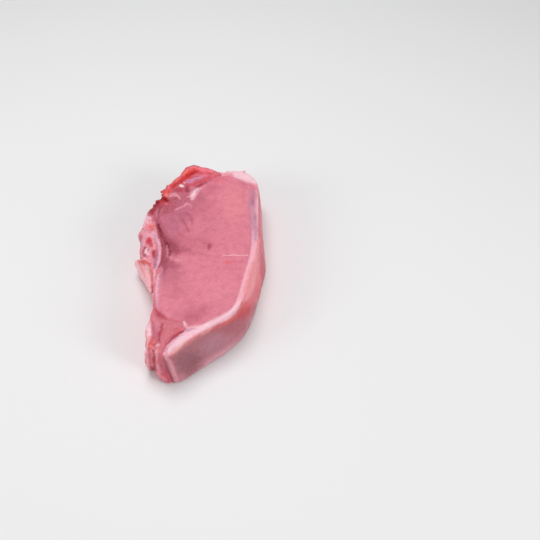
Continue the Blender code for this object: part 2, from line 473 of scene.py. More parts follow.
def multiply(tree, share, base, colour):
    """Multiplies a base by a fixed colour, by a share from 0 to 1."""
    node = tree.nodes.new("ShaderNodeMix")
    node.data_type = "RGBA"
    node.blend_type = "MULTIPLY"
    link(tree, share, node.inputs["Factor"])
    link(tree, base, node.inputs["A"])
    node.inputs["B"].default_value = (*colour, 1)
    return node.outputs["Result"]


def flesh(name, grain_size, grain_depth, blotch, blotch_depth, roughness, bump, scatter, shine=0.2):
    """The recipe. Grain and blotches have a size in mm and a depth, their share of full strength."""
    material = bpy.data.materials.new(name)
    material.use_nodes = True
    tree = material.node_tree
    shader = tree.nodes["Principled BSDF"]
    reader = tree.nodes.new("ShaderNodeAttribute")
    reader.attribute_name = "tone"
    fine = noise_node(tree, grain_size)
    broad = noise_node(tree, blotch, 4.0)
    colour = reader.outputs["Color"]
    for pattern, none, full, depth, tint in (
            (fine, 0.52, 0.30, grain_depth, (0.80, 0.62, 0.66)),
            (fine, 0.50, 0.72, grain_depth, (1.10, 1.30, 1.26)),
            (broad, 0.52, 0.32, blotch_depth, (0.82, 0.66, 0.72)),
            (broad, 0.50, 0.70, blotch_depth, (1.10, 1.16, 1.14))):
        colour = multiply(tree, ramp(tree, pattern, none, full, 0.0, depth), colour, tint)
    link(tree, colour, shader.inputs["Base Color"])
    gloss = ramp(tree, noise_node(tree, SHINE_PATCH), 0.35, 0.65, *roughness)
    link(tree, gloss, shader.inputs["Roughness"])
    shader.inputs["Subsurface Weight"].default_value = scatter
    shader.inputs["Subsurface Radius"].default_value = (1.0, 0.35, 0.30)
    shader.inputs["Subsurface Scale"].default_value = SCATTER_DEPTH * MM
    shader.inputs["Specular IOR Level"].default_value = shine
    relief = tree.nodes.new("ShaderNodeBump")
    relief.inputs["Strength"].default_value = bump
    relief.inputs["Distance"].default_value = BUMP_DEPTH * MM
    link(tree, fine, relief.inputs["Height"])
    link(tree, relief.outputs["Normal"], shader.inputs["Normal"])
    return material


print("light runs", SCATTER_DEPTH, "mm deep and the bump is", BUMP_DEPTH, "mm deep")

# %% [markdown]
# ## The cut face, across all the tissues
# A knife or a saw made the upper face in one stroke, so its relief doesn't stop at the seams. It
# swells and sinks a little over a few centimetres. It drops beside the bone, because the muscle
# shrank there and the bone didn't, and it opens in a cleft before the tail. Every piece gets the same
# relief here, worked out from place alone, so neighbours stay level with each other.

# %% Shared relief
BONE_DROP = 1.25  # mm, like the other depths here
CREASE_DEPTH = 0.25
PIT_DEPTH = 0.6
CLEFT_DEPTH = 1.0
FOLD_DEPTH = 0.3
SWELLS = [(0.50, 22, 1), (0.22, 8, 2), (0.07, 3, 6)]  # height and size in mm, and a seed
BESIDE_BONE = [(157, 225), (160, 233), (165, 242), (170, 249), (169, 258), (164, 267), (160, 275)]
CREASE = [(169, 248.5), (180, 249), (192, 250.5), (206, 253.5), (224, 255.5), (250, 255.5)]
FOLDS = {
    "under_the_flap": [(215, 177), (205, 183), (195, 188), (186, 192)],
    "first": [(182.5, 219), (186, 225), (189, 232)],
    "second": [(186, 211), (190.5, 217), (192.5, 223)],
}
PIT = (209.3, 246.3)
CLEFT = [(155, 309), (158, 313), (162.5, 317), (168.5, 319.8), (177, 321.5)]


def shape_cut_face(skin):
    face = soft_step(skin.height, 18, 27)
    lift = sum(height * grain(skin.points, size, seed) for height, size, seed in SWELLS)
    lift -= BONE_DROP * skin.line(BESIDE_BONE, [2, 4, 7, 9, 7, 5, 3])
    lift -= CREASE_DEPTH * skin.line(CREASE, [3.5, 3.0, 2.4, 1.8, 1.6, 1.4])
    lift -= PIT_DEPTH * skin.oval(PIT, (2.2, 3.8), 10)
    lift -= CLEFT_DEPTH * skin.line(CLEFT, [2.6, 5.0, 4.6, 2.6, 1.2])
    for fold in FOLDS.values():
        lift -= FOLD_DEPTH * skin.line(fold, [1.0, 2.4, 1.0])
    skin.lift(face * lift)


print("swells in the cut face:", len(SWELLS), "and folds in it:", len(FOLDS))

# %% [markdown]
# ## The tints of the cut face
# Raw veal is pale because a calf's muscle holds little pigment. In broad patches it goes towards
# mauve, most of all beside the bone, where the mauve is partly painted shade of the hollow. Where
# blood has stayed it is deep red, and fat and sinew are white with whatever shows through them:
# pink over lean, lilac over silverskin.
#
# The upright faces get less light than the cut face. A tint that is known from its look on an
# upright face is therefore made lighter before it is laid on, by `on_side`.

# %% Tints
SIDE_LIGHT = 0.72  # the light on an upright face, as a share of that on the cut face
PALEST = 0.93  # no tint is made lighter than this


def on_side(red, green, blue):
    """The tone that looks like this screen colour on an upright face."""
    colour = tone(red, green, blue)
    gain = min(1 / SIDE_LIGHT, PALEST / max(colour))
    return tuple(c * gain for c in colour)


LEAN = tone(224, 131, 149)
LIGHT_LEAN = tone(232, 141, 157)
MAUVE = tone(186, 101, 124)
# the deepest painted shade, in the hollow beside the bone
GROOVE_SHADE = tone(140, 32, 52)
CLOT = tone(104, 12, 24)
ORANGE = tone(228, 82, 76)
MEMBRANE = tone(236, 168, 180)
FAT = tone(243, 188, 201)
WHITE = tone(250, 208, 218)
GLINT = tone(253, 232, 236)
print("lean is", [round(c, 3) for c in LEAN], "and white fat is", [round(c, 3) for c in WHITE])

# %% [markdown]
# ## Features that cross the seams
# The next set is laid on every piece in turn. Broad, soft ovals come first, for the way the colour
# of the lean drifts and for painted shade, then the lines over them. Each name says what the feature
# is on a real chop, or the painted shade that it stands for.
# A line is a route of pixels, its half widths, a tint and how much of the tint covers. An oval is
# a centre, two radii, a tint, its cover and a turn in degrees. The usual cover, 0.8, and a turn of
# 0 are left out.

# %% Shared features
SHARED = {
    # Beside the bone the lean is partly mauve and partly painted shade of the hollow there.
    "mauve_and_shade_by_the_bone": Oval((171, 226), (17, 16), MAUVE, 0.85),
    "brown_by_the_flap": Oval((172, 202), (21, 13), tone(184, 94, 112), 0.75, -28),
    "mauve_by_the_cap": Oval((184, 207), (19, 10), tone(196, 107, 130), 0.7, -25),
    "drift_in_the_middle": Oval((201, 222), (26, 27), tone(212, 121, 140), 0.6),
    "mauve_below_the_cap": Oval((183, 215), (13, 10), tone(182, 96, 118), 0.62),
    "shade_at_the_cap_end": Oval((200, 207), (14, 11), tone(198, 106, 125), 0.5, -20),
    "shade_by_the_pit": Oval((204, 246), (13, 16), tone(205, 113, 131), 0.5),
    "shade_round_the_groove": Oval((183, 242), (17, 12), tone(200, 108, 127), 0.65, 20),
    "shade_by_the_groove": Oval((172, 243), (9, 8), tone(170, 79, 100), 0.65, 30),
    "shade_under_the_streak": Oval((171, 265), (13, 5), tone(176, 88, 107), 0.7, 8),
    "shade_at_the_left": Oval((170, 275), (14, 12), tone(192, 104, 125), 0.65),
    "shade_above_the_streak": Oval((188, 252), (13, 4), tone(199, 107, 126), 0.6),
    "shade_low_left": Oval((176, 288), (17, 12), tone(208, 116, 134), 0.55),
    "shade_at_the_tail": Oval((194, 312), (25, 8.5), tone(203, 110, 130), 0.75, -15),
    "shade_by_the_band": Oval((191, 320), (16, 6.4), tone(192, 98, 119), 0.65, -20),
    "shade_by_the_sheet": Oval((200, 197), (8.5, 8), tone(188, 102, 122), 0.65),
    "shade_by_the_folds": Oval((211, 188), (9, 10), tone(206, 112, 132), 0.6, -20),
    "red_by_the_flap": Oval((221, 180), (10, 4.6), tone(226, 114, 131), 0.6, 10),
    "light_at_the_right": Oval((236, 204), (17, 20), tone(232, 139, 150), 0.7),
    "light_low_down": Oval((222, 286), (24, 14), LIGHT_LEAN, 0.4, -10),
    "corner_by_the_fat": Oval((247, 185), (8, 6), tone(212, 120, 140), 0.6, 20),
    # Painted shade in the hollow beside the bone: broad at its sides, darkest down its middle, and
    # running out to the right.
    "groove_side_shade": Line([(158, 222), (161.5, 231), (166, 240), (170.6, 247.5), (177, 251)],
        [5.6, 6.2, 7.0, 7.6, 5.4], tone(167, 74, 94), 0.7),
    "groove_shade": Line([(158.4, 224), (160.2, 230.5), (162, 236), (164.9, 242), (168, 246)],
        [1.6, 2.4, 3.2, 3.6, 3.2], GROOVE_SHADE, 0.97),
    "groove_corner_shade": Line([(168.8, 245.6), (170.2, 249), (170, 254)],
        [2.4, 3.0, 2.4], tone(148, 52, 72), 0.85),
    "groove_foot_shade": Line([(169.4, 254), (167.6, 258.6), (164.6, 262.6)],
        [2.4, 2.8, 2.2], tone(150, 66, 84), 0.75),
    "groove_shade_runs_out": Line([(171, 249), (179, 248.4), (190, 250)],
        [3.0, 4.4, 2.6], tone(180, 90, 110), 0.45),
    "gristle_strip": Line([(162.6, 240), (164.4, 250), (164.6, 259), (164, 268), (163, 276)],
        [2.0, 3.8, 4.2, 3.8, 1.8], tone(172, 87, 105), 0.85),
    "gristle_grain": Line([(163.6, 244), (164.4, 252), (163.8, 262)],
        [0.5, 0.8, 0.6], tone(188, 108, 126), 0.5),
    "upright_sinew": Line([(167.1, 245.6), (167.4, 251), (167.3, 257)],
        [1.0, 1.3, 1.0], tone(212, 138, 155), 0.85),
    "light_by_the_streak": Oval((190, 259.4), (15, 3.2), tone(226, 136, 152), 0.5, -3),
    "streak": Line([(168.8, 257.2), (172.4, 258), (176.6, 259.8), (182, 260.4)],
        [1.0, 1.9, 1.7, 1.2], tone(234, 156, 172)),
    "seam_in_the_eye": Line([(222, 256), (230, 255.2), (240, 255.3), (251, 255.8)],
        [0.5, 0.8, 1.0, 0.8], tone(245, 182, 196)),
    "pit": Oval(PIT, (2.4, 4.6), tone(172, 70, 90), 0.85, 8),
    "pit_wing": Line([(201.5, 243), (206, 243.6), (209, 245)], [0.6, 1.0, 0.9], tone(184, 90, 106), 0.7),
    "stain": Oval((228, 262.4), (5.2, 2.3), tone(228, 100, 106), 0.75),
    "stain_beside": Oval((237.6, 261.4), (4.6, 1.8), tone(230, 116, 126), 0.45),
    "fold_one": Line(FOLDS["first"], [1.1, 2.1, 1.1], tone(176, 86, 108), 0.65),
    "fold_two": Line(FOLDS["second"], [1.0, 2.0, 1.0], tone(178, 88, 110), 0.55),
    "fold_three": Line([(174, 228), (179, 234), (186, 237)], [1.0, 2.0, 1.0], tone(184, 96, 120), 0.4),
    "fold_light": Line([(176, 217), (181, 225), (186, 232)], [0.9, 1.6, 0.9], tone(214, 132, 152), 0.4),
    "cap_seam": Line([(171, 212), (176, 208), (182, 202), (188, 196.6), (193.5, 191.4)],
        [2.2, 3.0, 3.0, 3.0, 1.6], tone(195, 104, 122), 0.6),
    "crumpled_sheet": Line([(177, 213), (184, 210.5), (190, 212)],
        [0.9, 1.6, 0.9], tone(214, 132, 152), 0.4),
    "white_sheet": Line([(201, 188.2), (197.6, 190), (194.6, 192.6), (192.9, 195.3), (192.2, 198.6)],
        [0.8, 3.0, 4.4, 5.0, 2.6], tone(245, 188, 201), 0.95),
    "sheet_light": Line([(196.4, 190.8), (193.6, 193.6), (192.4, 196.2)], [1.0, 2.4, 1.8], WHITE, 0.85),
    "white_wisp": Line([(189.8, 196.4), (186, 197)], [1.2, 0.7], MEMBRANE, 0.7),
    "long_streak": Line([(175.6, 209.8), (179.4, 208), (183.4, 206.4), (187, 203.8), (190.4, 204.6)],
        [1.0, 1.7, 1.2, 1.8, 1.2], tone(230, 150, 168)),
    "long_streak_end": Line([(190.2, 204.4), (191.6, 208.4)], [1.1, 0.8], tone(222, 142, 160), 0.6),
    "pale_strip_haze": Line([(161.6, 269), (160.2, 277), (158.6, 285), (158, 296), (158.6, 307)],
        [2.8, 4.6, 4.0, 3.4, 3.0], tone(222, 148, 168), 0.6),
    "pale_strip": Line([(159.4, 273), (158, 277.6), (156.8, 285), (156.4, 292), (157, 300), (157.4, 306)],
        [1.0, 2.4, 2.2, 2.2, 1.8, 1.0], tone(234, 170, 187), 0.9),
    "pale_strip_light": Line([(158, 275.4), (157, 283), (156.2, 293)],
        [0.9, 1.2, 1.2], tone(242, 186, 202), 0.6),
    "salmon_strip": Line([(153.4, 262), (152.4, 274), (152.6, 284), (152.8, 292), (153.6, 302),
        (154.3, 313)],
        [1.4, 2.0, 2.0, 1.8, 2.4, 1.8], tone(208, 112, 124), 0.85),
    "tail_wedge": Line([(155.2, 309.5), (158.5, 313.8), (162.5, 317), (168.5, 319.8)],
        [2.2, 4.2, 3.4, 1.2], tone(196, 82, 98), 0.95),
    "wedge_core": Line([(156.4, 311.5), (159.5, 315), (164, 318)],
        [1.2, 2.2, 1.1], tone(182, 66, 84), 0.7),
    "wedge_runs_out": Line([(168.5, 320), (176, 321.5), (184, 323)],
        [0.9, 0.9, 0.6], tone(188, 92, 108), 0.7),
    "spur": Line([(183.8, 321.6), (185, 324.6), (188.6, 327.2)],
        [1.4, 2.2, 2.0], tone(250, 196, 206), 0.95),
    "spur_strip": Line([(187, 327.4), (193, 327), (200, 325.8)],
        [1.6, 1.9, 1.4], tone(244, 172, 184), 0.9),
    "silverskin": Line([(253.4, 190), (252.6, 197), (251.9, 203), (253.0, 210), (254.2, 220),
        (254.8, 231), (254.4, 243)],
        [3.6, 5.0, 6.4, 5.6, 5.6, 5.0, 3.2], tone(203, 141, 164), 0.92),
    "silverskin_top": Line([(253.4, 188), (252.6, 196), (252.9, 204)],
        [3.4, 4.4, 2.6], tone(201, 122, 143), 0.85),
    "pale_by_the_eye": Line([(254.4, 243), (253.6, 256), (249.3, 268), (244.8, 279.6), (242.3, 289.6),
        (239.6, 299.8), (235.6, 308)],
        [3.8, 4.4, 3.8, 3.4, 3.6, 3.9, 4.0], tone(250, 178, 192), 0.92),
    "white_by_the_eye": Line([(239, 302), (234.7, 309.9), (224.8, 317.2), (213, 323), (203.4, 328)],
        [2.0, 4.3, 5.0, 5.0, 4.0], tone(251, 202, 213), 0.92),
    # Painted shade along the seam where the end of the tail meets the end of the fat.
    "shade_along_the_end_seam": Line([(162.6, 360), (164.4, 365), (167.4, 370), (170.2, 376), (172.6, 381.4)],
        [1.6, 2.4, 2.8, 2.9, 2.2], on_side(146, 66, 80), 0.85),
}
ON_THE_BONE = {
    "pale_knob": Oval((147.2, 220), (6.5, 7), tone(243, 180, 195), 0.85),
    "knob_light": Line([(146.6, 214), (144.8, 220), (143.6, 227)], [1.4, 2.2, 1.4], tone(250, 206, 220)),
    "knob_red": Line([(151.6, 216), (152.6, 220), (153, 224)], [0.9, 1.3, 1.0], tone(216, 96, 108), 0.55),
}
ON_THE_FAT = ["spur", "spur_strip", "silverskin", "silverskin_top", "pale_by_the_eye",
              "white_by_the_eye", "shade_along_the_end_seam"]


def begin(name, node, cell, first_tone, add=None):
    skin = Skin(name, node, cell, first_tone, add)
    shape_cut_face(skin)
    return skin


print("features on every tissue:", len(SHARED), "on the fat:", len(ON_THE_FAT))

# %% [markdown]
# ## The loin eye
# The eye is the large muscle in the middle. Its fibres were cut straight across, so its face is
# almost smooth, with a fine, even grain. Only soft noise is added to the shared relief. Its one free
# side, by the tail, is torn a little and gets more.

# %% Loin eye
def make_loin_eye():
    eye = begin("loin_eye_flesh", "loin_eye", 0.65, LEAN)
    waves, pimples = grain(eye.points, size=5, seed=5), grain(eye.points, size=2, seed=7)
    eye.push((0.06 + 0.40 * eye.upright) * waves + 0.05 * pimples)
    eye.write()
    eye.mark(SHARED)
    eye.lay(on_side(196, 92, 106), 0.7 * eye.upright)
    fibres = soft_step(grain(eye.points, size=5, seed=8, stretch=(1, 1, 3)), 0.0, 0.4)
    eye.lay(on_side(220, 130, 142), 0.7 * eye.upright * fibres)
    eye.lay_below(tone(212, 118, 136))
    finish = flesh("eye_flesh", grain_size=1.1, grain_depth=0.3, blotch=5.0, blotch_depth=0.4,
                   roughness=(0.40, 0.56), bump=0.22, scatter=0.2, shine=0.16)
    eye.finish(finish, "veal_lean")


make_loin_eye()

# %% [markdown]
# ## The fat
# The mauve brown is partly the fat's own colour and partly painted shade.
# The fat is one firm band round the outside of the eye. Knives leave it smooth, so its side is a
# soft sheet with broad, shallow facets. It is whitest on the cut face next to the lean. Silverskin
# covers it in lilac along the right, it turns salmon over the shoulder of the bend, where it has
# dried a little, and mauve brown down the side, with a lighter foot.
#
# Its paint comes in two sets, with some of the shared features between them: the dull and broad
# ones under, and the rims, edges and spots over.

# %% What shows on the fat
UNDER_FEATURES = {
    # The dull tints of the side are partly the fat's own colour and partly painted shade.
    "dull_middle": Oval((203, 351), (32, 13), on_side(150, 103, 112), 0.5, -32),
    # The left end of the side is darker still: partly its dull colour, partly painted shade.
    "dull_and_shaded_end": Oval((187, 363), (16, 17), on_side(124, 74, 83), 0.7, -40),
    "dull_below_the_rim": Oval((232, 326), (26, 10), on_side(152, 82, 92), 0.7, -36),
    "lilac_haze": Oval((215, 343.6), (18, 10), on_side(168, 118, 133), 0.6, -35),
    "light_end": Line([(167, 355), (171.6, 363), (174.6, 371), (177.6, 380)],
        [3.6, 4.2, 4.6, 3.4], on_side(174, 104, 110), 0.6),
    "tan_under_the_rim": Line([(172, 353.6), (181, 346.6), (190, 340.6), (200, 335), (210, 329.4)],
        [4.5, 4.6, 4.0, 3.6, 3.2], on_side(192, 122, 124), 0.75),
    # A rosy tint down the right side, with painted shade that darkens it towards its outline.
    "rosy_shade_down_the_right_side": Line([(260, 196), (261, 213), (262.4, 230), (263.6, 246), (264.6, 260), (265, 273),
        (264, 286), (260, 297)],
        [2.0, 3.0, 4.8, 6.2, 7.0, 7.4, 7.0, 5.0], on_side(164, 70, 79), 0.9),
    "rosy_bend": Line([(257, 276), (254.4, 288), (251.4, 298), (247, 306)],
        [5.0, 8.0, 8.4, 6.0], on_side(204, 98, 108), 0.85),
    "salmon_shoulder": Line([(257.4, 242), (255.8, 257), (253.4, 270), (251, 282), (247.8, 292),
        (244, 301)],
        [3.2, 4.6, 5.8, 6.2, 5.4, 3.6], on_side(236, 146, 152), 0.85),
    "salmon_rim": Line([(245, 303), (239, 311.4), (230, 319), (220, 324.4), (209, 329.2), (198, 333.6),
        (188, 339.4)],
        [3.0, 4.0, 4.2, 4.0, 3.6, 3.0, 2.0], tone(238, 158, 164), 0.9),
    "lean_edge": Line([(249, 243), (248.6, 250), (246.2, 259.4), (243.4, 269), (240, 279), (237.4, 288),
        (234.8, 297.6), (230.8, 305.6), (221.8, 312.2), (210.4, 317.6), (200.6, 322.6)],
        [4.4, 4.6, 4.4, 4.2, 4.0, 4.0, 4.2, 4.4, 4.6, 4.6, 4.2], tone(220, 127, 145), 0.95),
    "lean_edge_above": Line([(251.4, 186), (249.4, 194), (248.4, 204), (248.6, 214), (249.4, 224),
        (249.4, 234), (249, 243)],
        [4.6, 5.4, 5.6, 5.4, 5.2, 4.8, 4.4], tone(220, 129, 146), 0.97),
}
OVER_FEATURES = {
    "lean_at_the_top": Line([(221, 175.4), (227, 174.6), (233, 176)],
        [2.0, 2.6, 2.0], tone(234, 136, 150)),
    "lean_by_the_wedge": Line([(233, 178.4), (241, 181.8), (249, 185.2), (255, 187.8)],
        [2.2, 3.0, 3.2, 3.0], tone(220, 124, 144), 0.9),
    "white_wedge": Line([(236, 173.6), (243, 175.6), (249, 178.6), (254.6, 182)],
        [3.8, 4.4, 3.4, 2.2], WHITE, 0.9),
    "rosy_corner": Oval((257.6, 186), (2.8, 3.6), tone(226, 140, 150), 0.7, -30),
    "plum_spot": Oval((252.6, 202), (2.2, 4.6), tone(180, 116, 142), 0.6, 6),
    "plum_spot_below": Oval((255, 217), (1.8, 4.0), tone(188, 124, 150), 0.5),
    "lilac_light": Line([(253.4, 231), (253.2, 238), (253.2, 245)],
        [1.8, 2.6, 2.4], tone(232, 170, 192), 0.75),
    "rosy_edge": Line([(257.6, 189), (257, 195), (257, 200)], [1.4, 1.8, 1.2], tone(214, 130, 148), 0.7),
    "pale_edge": Line([(256.6, 199), (256.4, 208), (257.4, 217), (257.6, 226)],
        [1.2, 1.9, 1.7, 1.2], tone(232, 168, 186), 0.85),
    "salmon_streak": Line([(252.6, 262), (250, 270), (248, 281), (244, 291)],
        [1.6, 3.0, 3.4, 2.4], tone(234, 134, 138), 0.45),
    "pale_streak": Line([(255.4, 264), (254.6, 274), (252.4, 286), (248.6, 295), (244.8, 301)],
        [1.6, 3.2, 4.0, 3.4, 2.0], on_side(255, 164, 172), 0.7),
    "pale_wisp": Line([(257.6, 268), (258.4, 279), (256, 290)],
        [1.0, 1.8, 1.2], on_side(240, 140, 150), 0.25),
    "red_below_the_bend": Oval((245, 311.6), (12.5, 8), on_side(170, 60, 68), 0.85, -42),
    "red_at_the_bend": Oval((245, 305.6), (6.2, 4.4), on_side(196, 80, 86), 0.8, -50),
    "red_rim": Line([(243.4, 309.4), (240.2, 313.2), (230.6, 320.8), (220.6, 325.4), (211.4, 330.4)],
        [3.8, 3.6, 3.4, 3.0, 2.2], on_side(182, 72, 76)),
    "spot_on_the_rim": Oval((198.4, 337), (3.4, 1.8), on_side(176, 92, 98), 0.7, -30),
    # White fat along the rim, made lighter by a painted highlight on its rounded edge.
    "white_rim": Line([(165.8, 353), (168.6, 350), (174, 344.8), (183.2, 338.2), (193, 332.3),
        (204, 327.6)],
        [3.4, 5.4, 6.2, 5.6, 4.4, 3.8], tone(249, 203, 215), 0.9),
    # Partly cream colour and partly a painted highlight, where the rim turns down at its left end.
    "cream_highlight_on_the_corner": Oval((175.6, 349.6), (7, 3.2), tone(236, 176, 176), 0.6, -38),
    "lilac_edge": Line([(164.8, 352), (167.4, 347), (173, 341), (180.4, 335.6), (187.6, 331),
        (197, 328.4)],
        [1.8, 2.6, 2.8, 2.8, 2.2, 1.2], tone(236, 180, 200), 0.97),
    "mauve_haze": Line([(183.6, 331.6), (188, 329.8), (194, 328.8)],
        [1.2, 2.0, 1.2], tone(204, 134, 164), 0.75),
    "upright_corner": Line([(166, 352.6), (166.8, 358), (170.6, 364), (172.6, 370), (175.3, 376),
        (178, 382)],
        [2.8, 3.0, 3.2, 3.4, 3.4, 2.4], on_side(200, 136, 147), 0.85),
    "corner_light": Oval((166.6, 356.4), (2.6, 3.6), on_side(232, 160, 170), 0.7),
}
print("features under:", len(UNDER_FEATURES), "and over:", len(OVER_FEATURES))

# %% [markdown]
# The soft fat sags under its own weight, so the foot of its side spreads by a couple of
# millimetres. Along the far rim the knife left small tufts. The inner wall, which only shows as a
# hairline beside the tail, stays pale.

# %% Fat cap
FLARE_FROM = (-16, -2)  # in mm along X, where the foot of the side begins to spread
FLARE_TO = (8, 34)
FLARE_OUT = 2.2  # mm
FLARE_HEIGHT = 16  # mm
INWARD = np.array((-0.6, 0.8, 0))  # the way that the inner wall faces
TUFTS = [
    ([(242.4, 173.4, 28.2), (244.2, 171.4, 28.8)], [1.9, 1.1]),
    ([(230, 174, 28.2), (227.6, 172.2, 28.8)], [1.8, 1.1]),
    ([(222.4, 174.6, 28.2), (219.8, 172.8, 28.8)], [1.7, 1.0]),
]
TUFT_KNOT = (235.4, 172.8, 28.4)


def fat_tufts(bm):
    for pixels, radii in TUFTS:
        add_strand(bm, pixels, radii)
    add_lump(bm, at(*TUFT_KNOT), (2.2, 1.4, 1.4), 15)


def make_fat_cap():
    fat = begin("fat_band", "fat_cap", 0.65, FAT, fat_tufts)
    facets = grain(fat.points, size=12, seed=11, stretch=(1, 1, 3))
    fat.push(0.40 * facets * fat.upright + 0.05 * grain(fat.points, size=2, seed=13))
    fat.push(0.16 * grain(fat.points, size=4.5, seed=12))
    flare = soft_step(fat.points[:, 0], *FLARE_FROM) * (1 - soft_step(fat.points[:, 0], *FLARE_TO))
    spread = (1 - soft_step(fat.height, 0, FLARE_HEIGHT)) * soft_step(-fat.points[:, 1], 20, 30)
    fat.push(FLARE_OUT * fat.upright * flare * spread)
    fat.lift(fat.top * 0.25)
    fat.write()
    along_x, along_y = fat.points[:, 0], fat.points[:, 1]
    drift = grain(fat.points, size=14, seed=15, stretch=(1, 1, 1.3))
    drift = drift + 0.4 * grain(fat.points, size=5, seed=16, stretch=(1, 1, 1.6))
    right_side = soft_step(along_y, -36, -14)
    inner = soft_step(fat.normals @ INWARD, 0.1, 0.5) * (1 - soft_step(along_y, 10, 30))
    side = fat.upright * (1 - inner)
    # The side tints are partly the fat's own colour and partly painted shade.
    fat.lay(on_side(160, 98, 107), side)
    fat.lay(on_side(177, 117, 126), 0.8 * side * soft_step(drift, -0.1, 0.7))
    fat.lay(on_side(202, 108, 119), 0.95 * side * right_side)
    fat.lay(on_side(212, 134, 144), 0.6 * side * right_side * soft_step(drift, 0, 0.6))
    foot = 1 - soft_step(fat.height + 1.5 * drift, 0.5, 10)
    middle = soft_step(along_x, -2, 10) * (1 - soft_step(along_x, 18, 30))
    fat.lay(on_side(206, 154, 165), (0.2 + 0.7 * middle) * side * foot)
    fat.mark(UNDER_FEATURES)
    fat.mark({name: SHARED[name] for name in ON_THE_FAT})
    fat.mark(OVER_FEATURES)
    fat.lay_below(tone(232, 172, 184))
    finish = flesh("fat_finish", grain_size=1.6, grain_depth=0.22, blotch=9.0, blotch_depth=0.25,
                   roughness=(0.36, 0.52), bump=0.12, scatter=0.3)
    fat.finish(finish, "white_fat")


make_fat_cap()

# %% [markdown]
# ## The cap muscle and its torn flap
# The far end is the untidy one. A small, darker muscle lies between the eye and the outside, with
# thin white membranes between its bundles. Its outer edge was pulled off, not cut. It stands up in
# a rolled red flap with a second, lilac fold in front of it, and ends in shreds and clots. These are
# strands and lumps that melt into the muscle in its remesh.

# %% The flap's strands and clots
FLAP_STRANDS = {
    "rolled_edge": ([(170.8, 187.2, 27.5), (176, 183.6, 28.4), (183.4, 179.2, 29.4), (189, 171.6, 30.6),
                     (194.4, 169.8, 31.0), (203, 171.6, 30.8), (210, 172.6, 30.2), (217.5, 174.4, 28.6)],
                    [2.4, 3.0, 3.6, 3.9, 3.7, 3.4, 3.0, 1.5]),
    "second_fold": ([(185, 182, 28.2), (192, 180.5, 28.8), (200, 178.5, 28.8), (208, 177, 28.4)],
                    [1.4, 1.9, 1.8, 1.2]),
    "third_fold": ([(188, 187, 28.0), (196, 185.5, 28.3), (204, 182.5, 28.3)], [1.1, 1.5, 1.1]),
    "spike": ([(169, 190, 27), (164.5, 191.2, 27), (160.5, 192.2, 27.4)], [2.4, 1.6, 0.8]),
    "second_spike": ([(168, 192, 27), (163.5, 194.4, 27), (161.5, 195.4, 27)], [1.8, 1.2, 0.7]),
    "shred": ([(168.5, 188, 27.8), (167.4, 192.4, 28.0), (166.6, 195.6, 27.6)], [2.4, 2.6, 2.0]),
    "membrane": ([(192, 196, 28.3), (195, 192.5, 28.8), (199.5, 189, 28.4)], [1.3, 1.9, 1.0]),
}
CLOT_LUMPS = [  # a pixel with its level, radii in mm and a turn in degrees
    ((162, 203, 26.5), (2.4, 1.8, 2.4), 30),
    ((157.6, 202.4, 26.4), (2.2, 1.7, 2.2), 30),
    ((154.6, 206.6, 25.8), (1.7, 2.3, 2.4), -20),
    ((151.6, 211.6, 25), (1.7, 2.6, 2.6), -25),
    ((181.5, 186, 28.9), (1.8, 1.1, 1.0), 20),
]


def flap_lumps(bm):
    for pixels, radii in FLAP_STRANDS.values():
        add_strand(bm, pixels, radii)
    for place, radii, turn in CLOT_LUMPS:
        add_lump(bm, at(*place), radii, turn)


print("strands:", len(FLAP_STRANDS), "and clots:", len(CLOT_LUMPS))

# %% [markdown]
# Blood stays in the torn edge and in the small hole beside it, so the deepest reds lie there. The
# folds behind are pink and lilac, and the fibres below run towards the bone.

